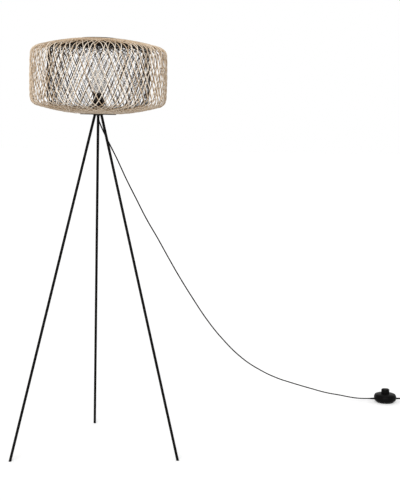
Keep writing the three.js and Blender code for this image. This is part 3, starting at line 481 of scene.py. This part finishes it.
def turned_mesh(name, outline):
    """A body turned about +Z from radius and height points, which start and end on the axis or go round."""
    closed = outline[0][0] > 0
    points, rings = [], []
    for radius, height in outline:
        count = ROUND_FACETS if radius > 0 else 1
        rings.append(range(len(points), len(points) + count))
        for k in range(count):
            angle = math.tau * k / ROUND_FACETS
            points.append((radius * math.cos(angle), radius * math.sin(angle), height))
    pairs = list(zip(rings, rings[1:]))
    if closed:
        pairs.append((rings[-1], rings[0]))
    faces = []
    for low, high in pairs:
        for k in range(ROUND_FACETS):
            after = (k + 1) % ROUND_FACETS
            corners = [low[k % len(low)], low[after % len(low)], high[after % len(high)], high[k % len(high)]]
            face = list(dict.fromkeys(corners))
            if len(face) > 2:
                faces.append(face)
    mesh = bpy.data.meshes.new(name)
    mesh.from_pydata(points, [], faces)
    smooth_with_edges(mesh)
    return mesh


def add_turned(name, outline, slot, node, place):
    """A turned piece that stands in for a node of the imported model."""
    piece = add_piece(turned_mesh(name, outline), name, slot)
    piece.location = place
    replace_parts(piece, node)
    return piece


def make_legs():
    """Three straight legs, each leaning in from its foot to its seat in the hub."""
    bottom = FOOT_CAP_LENGTH + TOUCH_GAP
    top = math.hypot(LEG_RUN, LEG_SEAT_HEIGHT) - TOUCH_GAP
    edge = LEG_EDGE_ROUNDING
    outline = [
        (LEG_BORE_RADIUS, bottom),
        (LEG_RADIUS - edge, bottom),
        (LEG_RADIUS, bottom + edge),
        (LEG_RADIUS, top - edge),
        (LEG_RADIUS - edge, top),
        (LEG_BORE_RADIUS, top),
    ]
    for side, angle in LEG_ANGLES.items():
        turn = math.radians(angle)
        foot = at_lamp(FOOT_RADIUS * math.cos(turn), FOOT_RADIUS * math.sin(turn), 0)
        leg = add_turned(f"shown_leg_{side}", outline, "black_steel", f"leg_{side}", foot)
        leg.rotation_euler = (Matrix.Rotation(turn, 3, "Z") @ Matrix.Rotation(-LEG_TILT, 3, "Y")).to_euler()


def make_hub():
    """The hub, whose underside slopes so that the legs' ends lie flat against it."""
    slope = math.tan(LEG_TILT)
    flat_height = LEG_SEAT_HEIGHT - (LEG_SEAT_RADIUS - HUB_FLAT_RADIUS) * slope
    edge_height = LEG_SEAT_HEIGHT + (HUB_RADIUS - LEG_SEAT_RADIUS) * slope
    rounding = HUB_EDGE_ROUNDING
    outline = [
        (HUB_HOLE_RADIUS, flat_height),
        (HUB_FLAT_RADIUS, flat_height),
        (HUB_RADIUS - rounding, edge_height - rounding * slope),
        (HUB_RADIUS, edge_height + rounding),
        (HUB_RADIUS, HUB_TOP_HEIGHT - rounding),
        (HUB_RADIUS - rounding, HUB_TOP_HEIGHT),
        (HUB_HOLE_RADIUS, HUB_TOP_HEIGHT),
    ]
    add_turned("shown_hub", outline, "black_steel", "leg_hub", at_lamp(0, 0, 0))


def make_shade_rings():
    """The wire rings round the shade's two mouths."""
    section = []
    for k in range(WIRE_FACETS):
        angle = math.tau * k / WIRE_FACETS
        section.append((RING_RADIUS + WIRE_RADIUS * math.cos(angle), WIRE_RADIUS * math.sin(angle)))
    for side, rise in (("top", RING_RISE), ("bottom", -RING_RISE)):
        place = at_lamp(0, 0, SHADE_CENTRE_HEIGHT + rise)
        add_turned(f"shown_{side}_ring", section, "black_steel", f"shade_{side}_ring", place)


def bulb_dome_outline(inset):
    """The dome from its joint with the body up to its top, inset from the outer face."""
    centre = BULB_HEIGHT - BULB_RADIUS
    radius = BULB_RADIUS - inset
    outline = [(BULB_JOINT_RADIUS - inset, BULB_JOINT_HEIGHT)]
    joint = math.atan2(centre - BULB_JOINT_HEIGHT, BULB_JOINT_RADIUS - inset)
    for i in range(BULB_DOME_STEPS):
        angle = -joint / 2 + (math.pi / 2 + joint / 2) * i / BULB_DOME_STEPS
        outline.append((radius * math.cos(angle), centre + radius * math.sin(angle)))
    outline.append((0, centre + radius))
    return outline


def make_lampholder():
    foot = at_lamp(0, 0, HOLDER_FOOT)
    add_turned("shown_holder_cap", HOLDER_CAP_OUTLINE, "black_plastic", "holder_cap", foot)
    add_turned("shown_holder_shell", HOLDER_SHELL_OUTLINE, "black_plastic", "holder_shell", foot)
    add_turned("shown_clamp_ring", CLAMP_RING_OUTLINE, "black_plastic", "shade_clamp_ring", foot)


def make_bulb():
    foot = at_lamp(0, 0, BULB_FOOT)
    add_turned("shown_bulb_body", BULB_BODY_OUTLINE, "white_plastic", "bulb_body", foot)
    dome = [*reversed(bulb_dome_outline(BULB_WALL)), *bulb_dome_outline(0)]
    add_turned("shown_bulb_dome", dome, "opal", "bulb_dome", foot)


def spring_mesh(name):
    """A round wire wound about +Z, with both ends closed."""
    low = SPRING_BOTTOM + SPRING_WIRE_RADIUS
    high = SPRING_TOP - SPRING_WIRE_RADIUS
    steps = SPRING_TURNS * SPRING_STEPS_PER_TURN
    points, faces = [], []
    for i in range(steps + 1):
        turn = math.tau * i / SPRING_STEPS_PER_TURN
        for k in range(SPRING_SIDES):
            side = math.tau * k / SPRING_SIDES
            radius = SPRING_RADIUS + SPRING_WIRE_RADIUS * math.cos(side)
            height = low + (high - low) * i / steps + SPRING_WIRE_RADIUS * math.sin(side)
            points.append((radius * math.cos(turn), radius * math.sin(turn), height))
    for i in range(steps):
        for k in range(SPRING_SIDES):
            here = i * SPRING_SIDES + k
            after = i * SPRING_SIDES + (k + 1) % SPRING_SIDES
            faces.append((here, here + SPRING_SIDES, after + SPRING_SIDES, after))
    faces.append(tuple(range(SPRING_SIDES)))
    faces.append(tuple(reversed(range(steps * SPRING_SIDES, (steps + 1) * SPRING_SIDES))))
    mesh = bpy.data.meshes.new(name)
    mesh.from_pydata(points, [], faces)
    smooth_with_edges(mesh)
    return mesh


def make_spring():
    """The button's return spring, which on the real switch shortens as the button goes down."""
    spring = add_piece(spring_mesh("shown_switch_spring"), "shown_switch_spring", "plain_steel")
    spring.location = at_lamp(*SWITCH_CENTRE, 0)
    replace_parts(spring, "switch_spring")
    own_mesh(spring)
    return spring


def make_cord(name, points):
    """A round cord of one open spline through the points."""
    curve = bpy.data.curves.new(name, "CURVE")
    curve.dimensions = "3D"
    curve.bevel_depth = CORD_RADIUS
    curve.bevel_resolution = CORD_BEVEL_RESOLUTION
    curve.resolution_u = CORD_STEPS_PER_KNOT
    curve.use_fill_caps = True
    spline = curve.splines.new("BEZIER")
    spline.bezier_points.add(len(points) - 1)
    for knot, point in zip(spline.bezier_points, points):
        knot.co = point
        knot.handle_left_type = "AUTO"
        knot.handle_right_type = "AUTO"
    return add_piece(curve, name, "black_plastic")


def coil_point(turn):
    """A point on the wound lead: in over the lower layer, a climb where it turns back, out over the upper."""
    reversal = COIL_LAYER_TURNS + COIL_CLIMB_TURNS
    inner_radius = COIL_OUTER_RADIUS - COIL_PITCH * COIL_LAYER_TURNS
    radius = COIL_OUTER_RADIUS - COIL_PITCH * turn
    height = COIL_FLOOR_HEIGHT
    if turn > reversal:
        radius = inner_radius + COIL_PITCH * (turn - reversal)
        height += COIL_PITCH
    elif turn > COIL_LAYER_TURNS:
        climbed = turn - COIL_LAYER_TURNS
        share = climbed / COIL_CLIMB_TURNS
        radius = inner_radius - COIL_PITCH * climbed + COIL_PITCH * climbed * share
        height += COIL_PITCH * share * share * (3 - 2 * share)
    angle = math.radians(COIL_START_ANGLE) + turn * math.tau
    x, y = COIL_CENTRE
    return at_lamp(x + radius * math.cos(angle), y + radius * math.sin(angle), height)


def make_hanging_lead(spring):
    """The lead from the hub down to the foot switch on the floor."""
    hanging = [at_lamp(*p) for p in HANGING_ROUTE]
    lead = make_cord("lead_to_switch", hanging)
    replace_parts(lead, "cord_to_switch")


def make_spare_lead():
    """The lead beyond the switch, wound in a coil of two layers that ends in the plug."""
    turns = 2 * COIL_LAYER_TURNS + COIL_CLIMB_TURNS
    steps = round(turns * COIL_STEPS_PER_TURN)
    coil = [coil_point(turns * i / steps) for i in range(steps + 1)]
    coil_end = coil[-1]
    plug_end = Vector((coil_end.x, coil_end.y + PLUG_LEAD_LENGTH + 2 * CORD_RADIUS, PLUG_HEIGHT))
    straight = Vector((0, 2 * CORD_RADIUS, 0))
    middle = coil_end.lerp(plug_end, PLUG_LEAD_KNOT_SHARE)
    tail = [coil_end + straight, middle, plug_end - straight, plug_end]
    route = [*(at_lamp(*p) for p in COIL_LEAD_ROUTE), *coil, *tail]
    spare = make_cord("lead_to_plug", route)
    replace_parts(spare, "cord_to_coil", "cord_coil", "cord_to_plug")


def sampled_outline(stretches):
    """The whole outline from the top mouth to the bottom one, as an array of radius and rise."""
    upper = [np.array(stretches[0][0])]
    for start, middle, end in np.array(stretches):
        for i in range(1, OUTLINE_STEPS + 1):
            t = i / OUTLINE_STEPS
            upper.append((1 - t) ** 2 * start + 2 * t * (1 - t) * middle + t * t * end)
    upper = np.array(upper)
    lower = upper[-2::-1] * (1, -1)
    return np.vstack([upper, lower])


def strip_path(outline, weave):
    """The line down a wall in even steps, with its outward normal and the strips' turn, slant and skin share,
    whose drops paint shade.
    """
    along = np.concatenate([[0], np.cumsum(np.linalg.norm(np.diff(outline, axis=0), axis=1))])
    count = int(along[-1] / weave["step"])
    s = np.linspace(0, along[-1], count + 1)
    radius = np.interp(s, along, outline[:, 0])
    rise = np.interp(s, along, outline[:, 1])
    way = np.gradient(np.column_stack([radius, rise]), s, axis=0)
    way /= np.linalg.norm(way, axis=1)[:, None]
    normal = np.column_stack([-way[:, 1], way[:, 0]])
    slant = np.radians(np.interp(s / s[-1], *zip(*weave["slants"])))
    rate = np.tan(slant) / radius
    turn = np.concatenate([[0], np.cumsum((rate[1:] + rate[:-1]) / 2 * np.diff(s))])
    turn -= np.interp(s[-1] / 2, s, turn)
    skin = np.interp(s / s[-1], *zip(*weave["painted_shade_skin_shares"]))
    return StripPath(radius, rise, way, normal, turn, slant, skin)


def strip_widths(path, weave, wobble):
    """A strip's width at each step, narrower where the strips crowd."""
    apart = math.tau * path.radius / weave["strips"] * np.cos(path.slant)
    width = weave["width"] * (1 + weave["width_spread_share"] * wobble)
    return np.minimum(width, apart * WIDEST_STRIP_SHARE)


def strip_angles(path, weave, hand, index, random):
    """A strip's angle round the axis at each step, shifted and swaying a little off its even place."""
    spread = weave["place_spread_share"]
    shift = spread * random.uniform(-1, 1)
    sway = spread * np.sin(path.turn * random.uniform(*SWAY_RATES) + random.uniform(0, math.tau))
    start = math.radians(weave["start_angle"])
    return start + math.tau * (index + shift + sway) / weave["strips"] + hand * path.turn


def strip_points(path, weave, hand, angle, width):
    """A strip's corners, section by section. The two hands go over and under each other in turn."""
    level = np.zeros(len(angle))
    outward = np.column_stack([np.cos(angle), np.sin(angle), level])
    round_way = np.column_stack([-np.sin(angle), np.cos(angle), level])
    face = path.normal[:, :1] * outward + path.normal[:, 1:] * UPRIGHT
    down = path.way[:, :1] * outward + path.way[:, 1:] * UPRIGHT
    over = hand * weave["lift"] * np.cos(weave["strips"] * path.turn)
    centre = path.radius[:, None] * outward + path.rise[:, None] * UPRIGHT
    centre = centre + face * (over - weave["inset"])[:, None]
    side = np.cos(path.slant)[:, None] * round_way - hand * np.sin(path.slant)[:, None] * down
    section = np.array(STRIP_SECTION_SHARES)
    across = side[:, None, :] * (section[:, 0] * width[:, None])[:, :, None]
    through = face[:, None, :] * (section[:, 1] * weave["thickness"])[None, :, None]
    return (centre[:, None, :] + across + through).reshape(-1, 3)


def strip_faces(first, steps):
    """The faces of one closed strip, whose corners are numbered from the given one on."""
    corners = len(STRIP_SECTION_SHARES)
    last = first + (steps - 1) * corners
    faces = []
    for start in range(first, last, corners):
        for c in range(corners):
            here = start + c
            after = start + (c + 1) % corners
            faces.append((here, after, after + corners, here + corners))
    faces.append(tuple(reversed(range(first, first + corners))))
    faces.append(tuple(range(last, last + corners)))
    return faces


def add_mesh_values(mesh, name, domain, values):
    attribute = mesh.attributes.new(name, "FLOAT", domain)
    attribute.data.foreach_set("value", values)


def make_wall(name, stretches, weave, slot, node):
    """A wall of strips that lean one way, and as many that lean the other, each in its own tone."""
    path = strip_path(sampled_outline(stretches), weave)
    random = np.random.default_rng(weave["seed"])
    steps = len(path.radius)
    strip_size = steps * len(STRIP_SECTION_SHARES)
    points, faces, tones = [], [], []
    for hand in (1, -1):
        for index in range(weave["strips"]):
            width = strip_widths(path, weave, random.uniform(-1, 1))
            angle = strip_angles(path, weave, hand, index, random)
            faces.extend(strip_faces(len(points) * strip_size, steps))
            points.append(strip_points(path, weave, hand, angle, width))
            tones.append(np.full(strip_size, random.beta(*TONE_SHAPES)))
    # skin share on each face: the pale outer face is real, the drops along the outline are painted shade
    face_skin_and_painted_shade = [*np.outer(path.skin[:-1], STRIP_SKIN_SHARES).ravel(), 0, 0]
    mesh = bpy.data.meshes.new(name)
    place = np.array([0, AXIS_Y, SHADE_CENTRE_HEIGHT])
    mesh.from_pydata((np.vstack(points) + place).tolist(), [], faces)
    smooth_all(mesh)
    add_mesh_values(mesh, "tone", "POINT", np.concatenate(tones))
    add_mesh_values(mesh, "skin", "FACE", np.tile(face_skin_and_painted_shade, len(points)))
    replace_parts(add_piece(mesh, name, slot), node)


def paint_frame():
    """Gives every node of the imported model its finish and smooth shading."""
    slots = {part["node"]: part["material_slot"] for part in frame["record"]["subparts"]}
    for name, node in frame["nodes"].items():
        node.data.materials.clear()
        node.data.materials.append(MATERIALS[slots[name]])
        smooth_with_edges(node.data)


def background_rays(tree):
    """1 for the rays that show the background itself: the camera's, reflections and rays through glass."""
    rays = tree.nodes.new("ShaderNodeLightPath")
    shown = rays.outputs["Is Camera Ray"]
    for kind in ("Is Glossy Ray", "Is Transmission Ray"):
        either = tree.nodes.new("ShaderNodeMath")
        either.operation = "MAXIMUM"
        tree.links.new(shown, either.inputs[0])
        tree.links.new(rays.outputs[kind], either.inputs[1])
        shown = either.outputs["Value"]
    return shown


def make_world():
    """Even white light, and a backdrop as white as the lit floor."""
    scene = bpy.context.scene
    scene.view_settings.view_transform = "Standard"
    world = bpy.data.worlds.new("studio")
    scene.world = world
    world.use_nodes = True
    tree = world.node_tree
    light = tree.nodes["Background"]
    light.inputs["Color"].default_value = (*WHITE, 1)
    light.inputs["Strength"].default_value = SKY_STRENGTH
    backdrop = tree.nodes.new("ShaderNodeBackground")
    backdrop.inputs["Color"].default_value = (*grey(BACKDROP_SHADE), 1)
    mix = tree.nodes.new("ShaderNodeMixShader")
    tree.links.new(background_rays(tree), mix.inputs["Fac"])
    tree.links.new(light.outputs["Background"], mix.inputs[1])
    tree.links.new(backdrop.outputs["Background"], mix.inputs[2])
    tree.links.new(mix.outputs["Shader"], tree.nodes["World Output"].inputs["Surface"])


def floor_material():
    """Pale and dull, with a glow where it shows, which lifts it to the backdrop's white."""
    finish = plain_finish(
        grey(FLOOR_SHADE), grey(FLOOR_SHADE + FLOOR_GRAIN), FLOOR_GRAIN_SCALE, FLOOR_ROUGHNESS
    )
    material = new_material("floor", finish)
    tree = material.node_tree
    shader = tree.nodes["Principled BSDF"]
    shader.inputs["Emission Color"].default_value = (*WHITE, 1)
    glow = tree.nodes.new("ShaderNodeMath")
    glow.operation = "MULTIPLY"
    glow.inputs[1].default_value = FLOOR_GLOW
    tree.links.new(background_rays(tree), glow.inputs[0])
    tree.links.new(glow.outputs["Value"], shader.inputs["Emission Strength"])
    return material


def make_floor():
    mesh = bpy.data.meshes.new("floor")
    reach = FLOOR_REACH
    corners = [(-reach, -reach, 0), (reach, -reach, 0), (reach, reach, 0), (-reach, reach, 0)]
    mesh.from_pydata(corners, [], [(0, 1, 2, 3)])
    mesh.materials.append(floor_material())
    floor = bpy.data.objects.new("floor", mesh)
    bpy.context.scene.collection.objects.link(floor)


def make_key_light():
    """A broad soft light from the front, on the photograph's left."""
    data = bpy.data.lights.new("key", "SUN")
    data.energy = KEY_STRENGTH
    data.angle = math.radians(KEY_SOFTNESS)
    key = bpy.data.objects.new("key", data)
    turn, height = (math.radians(a) for a in KEY_DIRECTION)
    level = math.cos(height)
    towards = Vector((math.sin(turn) * level, -math.cos(turn) * level, math.sin(height)))
    key.rotation_euler = towards.to_track_quat("Z", "Y").to_euler()
    bpy.context.scene.collection.objects.link(key)


make_camera()
paint_frame()
make_hanging_lead(make_spring())
make_spare_lead()
make_legs()
make_hub()
make_shade_rings()
make_lampholder()
make_bulb()
make_wall("outer_strips", OUTER_OUTLINE, OUTER_WEAVE, "rattan", "outer_weave")
make_wall("inner_strips", INNER_OUTLINE, INNER_WEAVE, "dark_rattan", "inner_weave")
make_world()
make_floor()
make_key_light()
